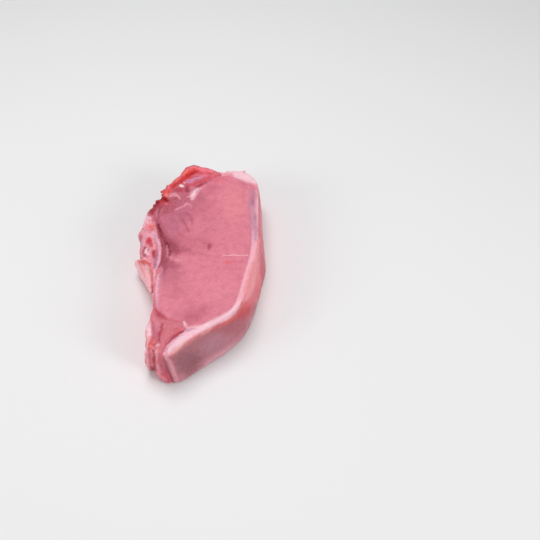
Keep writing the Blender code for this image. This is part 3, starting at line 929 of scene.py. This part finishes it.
# %% What shows on the cap
CAP_FEATURES = {
    "brown_web": Oval((164, 207), (17, 11), tone(180, 86, 102), 0.75, -30),
    "red_under_the_flap": Line([(183, 190), (179, 189.6), (174, 191)],
        [3.0, 3.6, 2.6], tone(192, 82, 98)),
    "flap_back": Oval((204, 171.5), (16, 5.4), tone(252, 130, 144), 0.95, 8),
    "rolled_edge": Line([(169, 188), (176, 184), (184, 178.6), (190, 172.6), (196, 170)],
        [3.6, 5.0, 6.2, 6.8, 4.6], ORANGE, 0.97),
    "edge_light": Line([(169.8, 184), (177, 179.4), (185, 172.2), (192, 167.4)],
        [1.2, 1.8, 2.2, 2.0], tone(240, 112, 108), 0.7),
    "pink_lobe": Line([(168.6, 186), (168.6, 188.6), (169.4, 191)],
        [1.6, 2.0, 1.4], tone(248, 142, 150), 0.85),
    # Painted shadow in the crease below the rolled edge, over the flap's deep red.
    "shadow_in_the_flap_crease": Line([(172.5, 186.6), (179.5, 181.2), (186.5, 176), (193.5, 172.4)],
        [1.6, 2.8, 3.2, 2.2], tone(204, 46, 54), 0.85),
    "red_below_the_edge": Line([(171.8, 188.8), (176.4, 184.4), (181, 182), (186, 181)],
        [1.8, 3.4, 3.0, 1.2], tone(188, 48, 62)),
    "lilac_fold": Line([(186.6, 181.6), (190.4, 180.8), (195, 178.8), (203, 176.6)],
        [1.8, 3.0, 2.0, 1.2], tone(218, 140, 172), 0.92),
    "lilac_core": Oval((190.4, 181), (2.4, 1.5), tone(208, 130, 182), 0.8, -20),
    "flap_foot": Line([(217, 173.6), (209, 174.4), (201, 175.6)], [1.2, 1.5, 1.1], tone(234, 124, 138)),
    "red_fold": Line([(215, 176.2), (209, 178.2), (201, 182), (193, 184.6), (186, 185.6)],
        [2.0, 3.2, 2.9, 2.4, 1.8], tone(208, 80, 96), 0.9),
    # A red line between the flap and the fat, deepened by painted shadow.
    "shadow_line_by_the_flap": Line([(214, 175.9), (222, 175.3), (230, 175.6)],
        [0.7, 1.0, 0.6], tone(186, 66, 80), 0.75),
    "fold_shadow": Line([(207, 181.8), (201.6, 184.2), (195, 187.2)], [0.8, 1.6, 0.8], tone(146, 38, 54)),
    "dark_corner": Oval((187.2, 189.6), (3.0, 4.2), tone(154, 42, 62), 0.9, 8),
    "spike": Line([(168.6, 191), (164, 191.8), (159.4, 192.8)], [3.4, 2.6, 1.6], tone(230, 84, 80), 0.92),
    "shred": Oval((166.4, 194.8), (4.4, 3.6), tone(238, 104, 102), 0.9, 20),
    "shred_light": Line([(165, 193.4), (167.6, 195.6)], [1.0, 1.3], tone(250, 140, 136), 0.7),
    "blood": Oval((164.5, 201.6), (5.4, 4.0), tone(200, 62, 74), 0.8, 10),
    "blood_light": Oval((167, 203.8), (2.6, 1.5), tone(226, 110, 124), 0.7, 10),
    "hole": Line([(161.6, 198.8), (164.2, 199), (167.6, 200.4)], [2.8, 3.6, 2.4], tone(150, 2, 18), 0.97),
    "clot_wash": Oval((158.6, 203), (4.0, 3.0), tone(176, 52, 66), 0.85, -30),
    "clot": Oval((158.2, 202.2), (2.2, 2.0), tone(132, 8, 24), 0.95),
    "shade_under_the_edge": Oval((181, 188.4), (9, 4.4), tone(178, 60, 80), 0.45, -15),
    "arc_shadow": Oval((175.6, 198.6), (3.6, 2.2), tone(160, 78, 96), 0.6, 15),
    "white_arc": Line([(170.2, 196), (173.6, 194.6), (176.8, 195.2), (179.8, 198.4)],
        [1.6, 2.6, 2.2, 1.2], tone(236, 160, 174), 0.9),
    "arc_end": Line([(183.2, 190.6), (184.6, 194.4)], [0.9, 1.2], tone(226, 128, 146), 0.7),
    "fibre_one": Line([(158, 208), (157, 212), (156.6, 217)], [0.8, 1.3, 1.0], tone(214, 132, 148), 0.5),
    "fibre_two": Line([(163, 208), (161, 212), (160.4, 215)], [0.6, 1.0, 0.7], tone(210, 126, 144), 0.4),
    "fibre_dark": Line([(160, 207), (158.8, 212), (158.4, 218)], [0.8, 1.2, 0.9], tone(158, 70, 88), 0.5),
    "pale_membrane": Line([(150, 217), (147.6, 221.5), (145.8, 227)],
        [1.8, 3.4, 3.2], tone(246, 184, 196), 0.85),
    "clot_edge": Line([(157.4, 203.6), (153.4, 208.4), (150.8, 215)],
        [3.2, 4.0, 2.6], tone(162, 38, 52), 0.9),
    "red_shreds": Oval((160.6, 206), (3.6, 2.4), tone(172, 58, 74), 0.6, -20),
    # Painted highlights where the flap is wet.
    "painted_highlight": Oval((181.7, 185.8), (2.8, 1.6), GLINT, 0.97, 12),
    "painted_highlight_above": Oval((184.4, 182.6), (1.3, 1.3), tone(250, 190, 200)),
}
print("features on the cap:", len(CAP_FEATURES))

# %% [markdown]
# The sides that no knife touched are dull, with streaks along the fibres and thin sheets of
# membrane that catch the light. `paint_outside` gives them to every tissue that has such a side.

# %% Cap muscle
BY_THE_EYE = [(173, 211), (181, 203), (188, 196.6), (196, 190)]
NEAR_THE_FLAP = (170, 202)
HOLE_END = (157.4, 202.2)
HOLE_DEPTH = 1.3  # mm


def paint_outside(skin, fresh, dull, sheet):
    """The torn, uncut outside of a muscle, with sheets of membrane and a little fat stuck to it."""
    patches = soft_step(grain(skin.points, size=16, seed=31, stretch=(1, 1, 1.6)), -0.5, 0.6)
    fibres = soft_step(grain(skin.points, size=2.6, seed=34, stretch=(1, 1, 5)), -0.1, 0.6)
    ragged = grain(skin.points, size=9, seed=32, stretch=(1, 1, 2.0))
    ragged = ragged + 0.5 * grain(skin.points, size=2.5, seed=33, stretch=(1, 1, 3))
    sheets = soft_step(ragged, 0.0, 0.9)
    skin.lay(dull, skin.upright)
    skin.lay(fresh, 0.8 * skin.upright * patches)
    skin.lay(sheet, 0.2 * skin.upright * fibres)
    skin.lay(sheet, 0.6 * skin.upright * (1 - 0.6 * skin.shown) * sheets)


def make_cap_muscle():
    cap = begin("cap_flesh", "cap_muscle", 0.5, tone(206, 112, 130), flap_lumps)
    free = soft_step(cap.height, 4, 12)
    low = 1 - soft_step(cap.height, 12, 26)
    by_the_eye = cap.line(BY_THE_EYE, [6, 7, 7, 5])
    cap.push(1.5 * cap.upright * free * grain(cap.points, size=9, seed=22))
    cap.push(0.30 * (1 - by_the_eye) * grain(cap.points, size=3.5, seed=23))
    cap.push(1.6 * cap.upright * low * (grain(cap.points, size=15, seed=25) - 0.3))
    cap.push(0.10 * grain(cap.points, size=1.5, seed=24))
    nick = cap.line(CAP_FEATURES["hole"].route, [1.6, 2.2, 1.2]) + cap.oval(HOLE_END, (1.8, 1.8))
    cap.lift(-HOLE_DEPTH * nick * soft_step(cap.height, 18, 25))
    cap.write()
    paint_outside(cap, on_side(182, 84, 96), on_side(156, 76, 94), on_side(206, 140, 154))
    cap.mark(SHARED)
    web = 1 - soft_step(np.abs(grain(cap.points, size=4.5, seed=26, stretch=(1.4, 1, 1))), 0.0, 0.16)
    near_flap = cap.oval(NEAR_THE_FLAP, (17, 13), -20) * (1 - by_the_eye)
    patches = soft_step(grain(cap.points, size=4, seed=27), 0.0, 0.4)
    cap.lay(tone(196, 84, 92), 0.5 * near_flap * patches)
    cap.lay(MEMBRANE, 0.5 * near_flap * web)
    cap.mark(CAP_FEATURES)
    cap.mark(ON_THE_BONE)
    cap.lay_below(tone(190, 100, 118))
    finish = flesh("cap_finish", grain_size=0.8, grain_depth=0.5, blotch=3.5, blotch_depth=0.6,
                   roughness=(0.22, 0.42), bump=0.45, scatter=0.22)
    cap.finish(finish, "dark_lean")


make_cap_muscle()

# %% [markdown]
# ## The backbone
# The saw went through the end of a vertebra. What shows is a shell of hard bone, white with a lilac
# cast, round a spongy, pink middle with red marrow in its larger holes. Bone doesn't shrink as the
# muscle does, so it stands a little proud, and its outer side is knobbly. The points of light on the
# wet marrow are painted highlights.

# %% What shows on the bone
MARROW = {
    "large_hole": Oval((148.8, 241), (3.7, 4.4), tone(206, 60, 78), 0.95, -20),
    "large_hole_side": Oval((151, 245), (2.6, 3.0), tone(204, 66, 82), 0.85, 10),
    "small_hole": Oval((154, 254.2), (2.5, 4.8), tone(190, 56, 74), 0.95, 4),
}
BONE_FEATURES = {
    "salmon_wash": Oval((150, 225), (5.0, 4.4), tone(240, 140, 148), 0.6),
    "salmon_spot": Oval((151.6, 227.4), (4.2, 3.4), tone(236, 106, 112)),
    "left_knob": Oval((140.2, 238.6), (3.6, 6.4), tone(216, 118, 136), 0.9),
    "left_knob_core": Oval((140, 240.2), (1.7, 3.4), tone(200, 84, 106), 0.8, 10),
    "left_knob_light": Line([(142.4, 230.6), (143.6, 233.6), (144.6, 236)],
        [1.2, 1.8, 1.2], tone(238, 160, 174), 0.7),
    "hard_bone": Line([(144.4, 235), (143.4, 240), (143, 245)],
        [1.8, 2.5, 2.2], tone(226, 170, 190), 0.85),
    "shell_top": Line([(153.2, 232), (155, 235.6), (156.4, 240)],
        [1.4, 2.4, 2.6], tone(224, 172, 194), 0.85),
    "shell_grey": Oval((154.8, 238.4), (1.2, 2.2), tone(186, 120, 146), 0.5),
    "wet_hollow": Oval((143.6, 251.4), (3.0, 4.8), tone(182, 84, 104), 0.75),
    "edge_low": Line([(143, 254), (144.4, 257.6), (146, 260.4)], [1.2, 1.7, 1.4], tone(190, 60, 76), 0.6),
    "white_middle": Oval((147.4, 250.6), (3.0, 4.4), tone(244, 184, 196), 0.7),
    "shell": Line([(156.4, 238), (158.6, 243.4), (159.7, 249), (159.8, 255), (158.6, 262.4),
        (156.4, 268.6)],
        [2.0, 2.2, 1.9, 1.8, 2.0, 1.6], tone(232, 176, 196), 0.95),
    "shell_inside": Line([(157.4, 252), (156.6, 257), (155.6, 262), (154.8, 267.4)],
        [0.9, 2.0, 2.9, 1.8], tone(178, 118, 150), 0.85),
    "pore_one": Oval((144.9, 247.7), (1.1, 1.2), CLOT, 0.85),
    "pore_two": Oval((148.3, 250), (1.1, 1.3), CLOT, 0.8, 20),
    "pore_three": Oval((145.2, 254.9), (1.1, 1.2), CLOT),
    "glint_one": Oval((145.6, 252), (1.2, 1.4), GLINT, 0.9),
    "glint_two": Oval((147.8, 253.8), (1.1, 1.0), GLINT, 0.85),
    "glint_three": Oval((146.4, 249.6), (1.0, 1.0), GLINT, 0.6),
    "red_under": Line([(140, 262), (144.4, 261.8), (149.5, 264)],
        [2.0, 3.6, 2.4], tone(228, 88, 90), 0.9),
    "gap_beside": Line([(156.8, 221.5), (158.2, 228), (159.8, 235.5), (161.6, 241.8), (162.8, 248)],
        [2.4, 2.4, 2.2, 1.8, 1.4], tone(170, 76, 94), 0.9),
    "gap_below": Line([(162.6, 247), (162.6, 254), (161.4, 262), (159.4, 268)],
        [1.6, 1.8, 1.8, 1.4], tone(176, 92, 110), 0.85),
}
print("features on the bone:", len(BONE_FEATURES), "and holes with marrow:", len(MARROW))

# %% [markdown]
# The knobs of the outer side are lumps, and the hard shell round the saw cut is a strand laid on
# its edge. The holes of the marrow sink in. At mid length the bone has a slight waist.

# %% Chine bone
KNOBS = [  # a pixel with its level, radii in mm and a turn in degrees
    ((149, 227, 26), (4.4, 4.2, 3.6), 0),
    ((142.6, 239.4, 24.6), (3.1, 5.6, 5.2), 10),
    ((145.8, 247, 21), (3.0, 4.0, 6.0), 0),
    ((147, 256, 17), (3.0, 3.4, 6.0), 0),
    ((148.4, 221, 25), (3.0, 4.4, 3.8), -10),
]
SHELL_RIM = [(154, 229, 28.6), (157.5, 236, 28.9), (159.4, 243, 29.0), (160, 253, 28.9),
             (158.4, 263, 28.6), (156.4, 269.5, 28)]
WAIST_IN = 0.9  # mm
WAIST_AT = 7  # mm along Y, the middle of the waist
WAIST_HALF = (3, 9)  # mm from there, where it is still full and where it has run out
WAIST_LEFT = (36, 42)  # mm left of the origin, where it begins and where it is full


def bone_lumps(bm):
    for place, radii, turn in KNOBS:
        add_lump(bm, at(*place), radii, turn)
    add_strand(bm, SHELL_RIM, [1.2, 1.8, 2.0, 2.0, 1.9, 1.2])


def make_chine_bone():
    bone = begin("chine_bone_sawn", "chine_bone", 0.5, tone(232, 146, 160), bone_lumps)
    sponge = soft_step(-grain(bone.points, size=1.9, seed=33), -0.1, 0.6)
    bone.push(0.45 * grain(bone.points, size=5, seed=34) + 0.12 * grain(bone.points, size=1.8, seed=35))
    hollow = sum(bone.oval(m.centre, m.radii, m.turn) for m in MARROW.values())
    bone.lift(soft_step(bone.height, 20, 26) * (0.45 - 0.9 * np.clip(hollow, 0, 1) - 0.3 * sponge))
    from_waist = np.abs(bone.points[:, 1] - WAIST_AT)
    waist = soft_step(-bone.points[:, 0], *WAIST_LEFT) * (1 - soft_step(from_waist, *WAIST_HALF))
    bone.points[:, 0] += WAIST_IN * waist
    bone.write()
    paint_outside(bone, on_side(204, 112, 124), on_side(186, 100, 112), on_side(226, 160, 170))
    bone.lay(tone(218, 124, 138), 0.55 * bone.top * sponge)
    pale_patches = soft_step(grain(bone.points, size=3.0, seed=36), 0.0, 0.5)
    bone.lay(tone(240, 184, 198), 0.5 * bone.top * pale_patches)
    bone.mark(ON_THE_BONE)
    bone.mark(BONE_FEATURES)
    bone.mark(MARROW)
    bone.lay_below(tone(222, 150, 160))
    finish = flesh("bone_finish", grain_size=0.9, grain_depth=0.5, blotch=3.0, blotch_depth=0.5,
                   roughness=(0.20, 0.42), bump=0.4, scatter=0.2)
    bone.finish(finish, "sawn_bone")


make_chine_bone()

# %% [markdown]
# ## The flank strip
# Below the bone hangs a thin strip where fat and sinew run in bands. They run from its jutting
# upper corner down to a point, so the ridges and the lines of colour do too. The corner was cut
# level across its top: what would stand above that edge in the picture is lowered, then softened.

# %% Bands of the flank
BAND_WIDTHS = [2.0, 2.6, 2.4, 1.2]
PALE_BANDS = {
    "left": [(137, 262), (139.4, 270), (144, 279), (150, 291)],
    "middle": [(141.6, 263), (143.4, 270), (146.4, 279), (151, 292)],
    "right": [(146.2, 264.8), (147.4, 272), (149, 281), (151.4, 292)],
}
RED_BANDS = {
    "left": [(139.2, 262.6), (141.6, 270), (145.2, 279), (150, 290)],
    "middle": [(143.6, 263.6), (145.2, 270), (147.6, 279), (150.8, 290)],
    "right": [(150.4, 265), (151, 272), (151.8, 281), (152.8, 292)],
}
RED_WIDTHS = [0.9, 1.2, 0.9, 0.6]
FLANK_FEATURES = {
    "corner_wash": Oval((142, 263), (6, 3.2), tone(232, 112, 118), 0.75, 10),
    "orange_streak": Line([(140.8, 264.6), (142.8, 270), (145.4, 277)],
        [1.6, 1.7, 0.9], on_side(240, 122, 118), 0.5),
    "white_edge": Line([(136.6, 262.6), (138, 268.6), (141.6, 276.6), (146.6, 285.4)],
        [1.6, 2.4, 2.4, 1.8], on_side(255, 200, 206), 0.75),
    "red_edge": Line(RED_BANDS["right"], [1.2, 1.5, 1.4, 1.2], tone(212, 84, 98)),
    "dark_spot": Oval((149.6, 265.4), (1.4, 1.6), tone(190, 58, 78), 0.7),
    "red_under": BONE_FEATURES["red_under"],
    "salmon_strip": SHARED["salmon_strip"],
}
print("bands:", len(PALE_BANDS), "pale and", len(RED_BANDS), "red")

# %% Rib flank
CORNER_TOP = 259.6  # the pixel row of the jutting corner's upper edge
CORNER_RIGHT = (141, 146)  # the pixel columns where the cut begins to fade and ends
CORNER_DROP = 12  # the most mm that a point is lowered


def flank_lumps(bm):
    """The strip hangs outward: its left bands lie lower than its right ones."""
    for name, level, radius in (("left", 10.5, 1.7), ("middle", 15.5, 2.3), ("right", 21.0, 2.4)):
        add_strand(bm, [(*p, level) for p in PALE_BANDS[name]], [radius, radius, radius * 0.8, 0.8])
    for name, level, radius in (("left", 12.5, 1.9), ("middle", 18.0, 2.2)):
        add_strand(bm, [(*p, level) for p in RED_BANDS[name]], [radius, radius, radius * 0.8, 0.8])


def make_rib_flank():
    flank = begin("flank_strip", "rib_flank", 0.5, tone(252, 182, 188), flank_lumps)
    ridges = sum(flank.line(route, BAND_WIDTHS) for route in PALE_BANDS.values())
    gaps = sum(flank.line(route, RED_WIDTHS) for route in RED_BANDS.values())
    flank.push(0.30 * ridges - 0.22 * gaps + 0.35 * grain(flank.points, size=4, seed=42, stretch=(1, 1, 2)))
    column, row = flank.pixels[:, 0], flank.pixels[:, 1]
    above = np.clip(CORNER_TOP - row, 0, CORNER_DROP) * (1 - soft_step(column, *CORNER_RIGHT))
    by_the_corner = (row < CORNER_TOP + 1) & (column < CORNER_RIGHT[1] + 1)
    flank.lift(-above * soft_step(flank.height, 4, 12))
    flank.write()
    flank.soften(by_the_corner, 6)
    paint_outside(flank, on_side(232, 142, 150), on_side(232, 160, 168), on_side(246, 194, 200))
    flank.mark({name: Line(route, BAND_WIDTHS, on_side(255, 204, 210), 0.8)
                for name, route in PALE_BANDS.items()})
    flank.mark({name: Line(route, RED_WIDTHS, on_side(246, 150, 152), 0.4)
                for name, route in RED_BANDS.items()})
    flank.mark(FLANK_FEATURES)
    flank.lay_below(tone(226, 150, 158))
    finish = flesh("flank_finish", grain_size=1.0, grain_depth=0.25, blotch=3.0, blotch_depth=0.25,
                   roughness=(0.25, 0.45), bump=0.3, scatter=0.3)
    flank.finish(finish, "flank_tissue")


make_rib_flank()

# %% [markdown]
# ## The tail
# The narrow end is a small muscle behind a dark cleft. Its end was chopped across, so its layers
# show as upright bands, and it hangs in two lobes with a fold of pale membrane between them and a
# notch at their foot. A rim of white fat runs down its left, and the band of fat begins at its right.

# %% What shows on the tail
BAND_EDGE = [(163.8, 352), (166.6, 346.6), (171.6, 341.2), (178, 336.2), (184, 332)]
TAIL_FEATURES = {
    "lilac_lean": Oval((155.4, 330), (4.4, 11), tone(206, 118, 141), 0.7, 5),
    "rosy_lean": Oval((170, 330), (7, 8), tone(214, 112, 128), 0.6, 30),
    "orange_lean": Oval((179.4, 329.8), (6.8, 3.6), tone(222, 106, 113), 0.65, -38),
    "crease": Line([(162.2, 324), (161, 329.6), (159.2, 335), (158.9, 340.8)],
        [1.2, 2.2, 2.4, 1.4], tone(174, 62, 81), 0.9),
    "crease_side": Oval((157.6, 338), (3.4, 4.6), tone(192, 88, 108), 0.6),
    "shade_by_the_fat": Line([(182, 331), (177, 334), (172.6, 338), (168.4, 342.6), (165.4, 348)],
        [1.6, 3.0, 3.0, 2.2, 1.2], tone(190, 80, 98), 0.6),
    "white_rim": Line([(150.6, 322), (148.6, 327.5), (148.4, 334), (148.2, 341), (147, 348)],
        [1.4, 4.4, 5.0, 3.0, 1.2], tone(248, 192, 202), 0.95),
    "white_rim_light": Oval((148.6, 331), (2.8, 6.5), tone(255, 214, 222), 0.9, 2),
    "rim_low": Oval((147.8, 339), (3.4, 4.4), tone(244, 168, 176), 0.7),
    "orange_spot": Oval((150.8, 344), (4.2, 7), tone(238, 122, 116), 0.65, 5),
    "orange_core": Oval((151.4, 341.4), (1.8, 3.2), tone(226, 96, 92), 0.5, 15),
    "white_nub": Oval((157.8, 345.6), (3.2, 2.4), tone(246, 180, 190), 0.85, -30),
    "lobe_light": Oval((154.6, 353.6), (7, 4.6), tone(232, 150, 158), 0.7),
    "left_lean": Line([(149.8, 355), (151, 361), (152.4, 367.6)],
        [2.2, 3.4, 2.8], on_side(192, 98, 108), 0.85),
    "left_light": Line([(150.4, 350.6), (153.2, 355)], [2.0, 2.4], on_side(228, 142, 152), 0.7),
    "left_foot": Oval((152.2, 365.8), (3.0, 3.6), on_side(226, 146, 154)),
    "right_lean": Line([(163, 353), (165, 364), (167.6, 378)],
        [4.6, 6.2, 5.8], on_side(174, 82, 96), 0.9),
    "right_light": Oval((160.6, 350.6), (4.4, 3.6), tone(222, 132, 144), 0.6),
    "right_lean_low": Oval((166.6, 375), (4.4, 4.4), on_side(190, 84, 96), 0.6, 20),
    "pale_fold": Line([(157.6, 347.6), (155.8, 352.4), (156.8, 358), (155.8, 363), (158, 369),
        (158.8, 375)],
        [1.6, 2.0, 2.4, 2.4, 3.2, 2.6], on_side(226, 150, 160), 0.85),
    "pale_foot": Line([(156, 372), (160.4, 376), (166, 380)],
        [2.2, 2.8, 1.6], on_side(214, 140, 150), 0.7),
    "pale_left": Line([(146.6, 350), (146.2, 356), (147.8, 361), (147.4, 365.5), (150.4, 369.6)],
        [1.8, 2.8, 2.4, 2.8, 1.8], on_side(248, 180, 190), 0.9),
    "fleck_in_the_lobe": Line([(150.4, 357.6), (152, 361.4)], [0.8, 1.0], on_side(224, 144, 154), 0.6),
    "fold_edge": Line([(159.6, 353), (159.4, 358), (161.4, 364), (162.4, 371)],
        [0.8, 1.3, 1.4, 0.9], on_side(156, 70, 88), 0.45),
    "lobe_gap": Line([(153.8, 356), (153.8, 361), (154.4, 366), (154, 371)],
        [0.6, 0.9, 1.2, 1.4], on_side(146, 54, 70), 0.6),
    "deep_line": Line([(186, 329.4), (180.4, 332.6), (175, 336.4), (169.4, 341)],
        [1.0, 1.9, 1.8, 1.0], tone(176, 64, 80)),
    "mauve_by_the_band": Line([(164.4, 350), (167, 345.6), (171.6, 341.4), (178, 336.8)],
        [1.6, 2.6, 2.6, 1.4], tone(188, 94, 118), 0.6),
    "band_edge": Line([(164.6, 354.4), (166.9, 348.8), (170.3, 344.2), (174, 341), (179, 337.2),
        (184.8, 333.2)],
        [2.4, 2.6, 2.5, 2.3, 1.8, 1.2], tone(240, 182, 199), 0.95),
    "upper_shade": Oval((166.6, 364.6), (3.6, 8.4), on_side(146, 62, 80), 0.65, -15),
    "dark_fleck": Oval((161.4, 366), (1.4, 3.4), on_side(152, 62, 78), 0.45, -10),
    "upper_light": Oval((162, 355), (3.0, 2.6), on_side(206, 110, 122), 0.6),
    "light_round_the_hole": Oval((154.2, 348.4), (5.0, 3.4), tone(236, 146, 154), 0.7),
    "hole": Oval((153.3, 350.9), (1.8, 1.9), tone(140, 44, 56)),
}
print("features on the tail:", len(TAIL_FEATURES))

# %% [markdown]
# The rim and the layers are strands, and two nubs sit between them. Then the notch is pressed in
# and the seams sink, while the edge of the band rises.

# %% Tail muscle
FAT_RIM = [(151.4, 323, 27), (150.2, 329, 26.6), (149.8, 336, 26.2), (149.6, 343, 24.8)]
NUBS = [  # a pixel with its level, radii in mm and a turn in degrees
    ((158, 346, 26.6), (2.2, 1.5, 1.8), 30),
    ((151, 347, 25.4), (2.2, 1.6, 2.0), -10),
]
LAYERS = [
    ([(147.8, 352, 22), (148.3, 361, 12), (150.5, 367.5, 3)], [2.0, 2.5, 1.9]),
    ([(157, 349, 24), (157.6, 361, 13), (158.6, 373, 3)], [1.2, 1.3, 1.2]),
    ([(163, 352, 23), (165, 364, 12), (168.5, 378, 3)], [2.6, 3.4, 3.0]),
    ([(160, 353, 22), (160.6, 364, 12), (162.4, 376, 3)], [1.8, 2.2, 2.0]),
]
NOTCH = [(153.6, 353), (154.2, 361), (154.6, 371)]
NOTCH_FOOT = (153.6, 372, 1)  # a pixel with its level
NOTCH_IN = 2.6  # mm that the foot goes in
GROOVE_DEPTH = 1.9  # mm, of the notch up the end
LOBE_FOOT = [(160, 378), (165, 381), (171, 384)]
BAND_SEAM = [(180, 328), (174, 331.6), (168.6, 336), (164, 341.6)]


def tail_lumps(bm):
    add_strand(bm, FAT_RIM, [1.8, 2.8, 2.9, 2.0])
    for place, radii, turn in NUBS:
        add_lump(bm, at(*place), radii, turn)
    for pixels, radii in LAYERS:
        add_strand(bm, pixels, radii)


def make_tail_muscle():
    tail = begin("tail_flesh", "tail_muscle", 0.5, tone(216, 120, 134), tail_lumps)
    top = soft_step(tail.height, 18, 27)
    tail.push(0.40 * grain(tail.points, size=4.5, seed=51) + 0.10 * grain(tail.points, size=1.6, seed=52))
    tail.push(-GROOVE_DEPTH * tail.line(NOTCH, [1.2, 2.2, 2.8]))
    tail.push(0.6 * tail.line(LOBE_FOOT, [3.0, 4.0, 4.0]))
    from_notch = np.linalg.norm(tail.points[:, :2] - spot(*NOTCH_FOOT), axis=1)
    low = 1 - soft_step(tail.height, 3, 12)
    tail.points[:, 1] += NOTCH_IN * (1 - soft_step(from_notch, 0.5, 2.8)) * low
    tail.lift(-0.5 * top * tail.line(TAIL_FEATURES["crease"].route, [1.4, 2.4, 2.2, 1.2]))
    tail.lift(-0.4 * top * tail.line(BAND_SEAM, [1.2, 2.4, 2.4, 1.2]))
    tail.lift(0.45 * top * tail.line(BAND_EDGE, [3.0, 3.4, 3.4, 3.0, 2.0]))
    tail.write()
    paint_outside(tail, on_side(200, 92, 106), on_side(186, 96, 112), on_side(230, 160, 170))
    tail.mark(SHARED)
    tail.mark(TAIL_FEATURES)
    tail.lay_below(tone(210, 118, 134))
    finish = flesh("tail_finish", grain_size=0.9, grain_depth=0.5, blotch=3.5, blotch_depth=0.5,
                   roughness=(0.26, 0.45), bump=0.4, scatter=0.25)
    tail.finish(finish, "tail_lean")


make_tail_muscle()
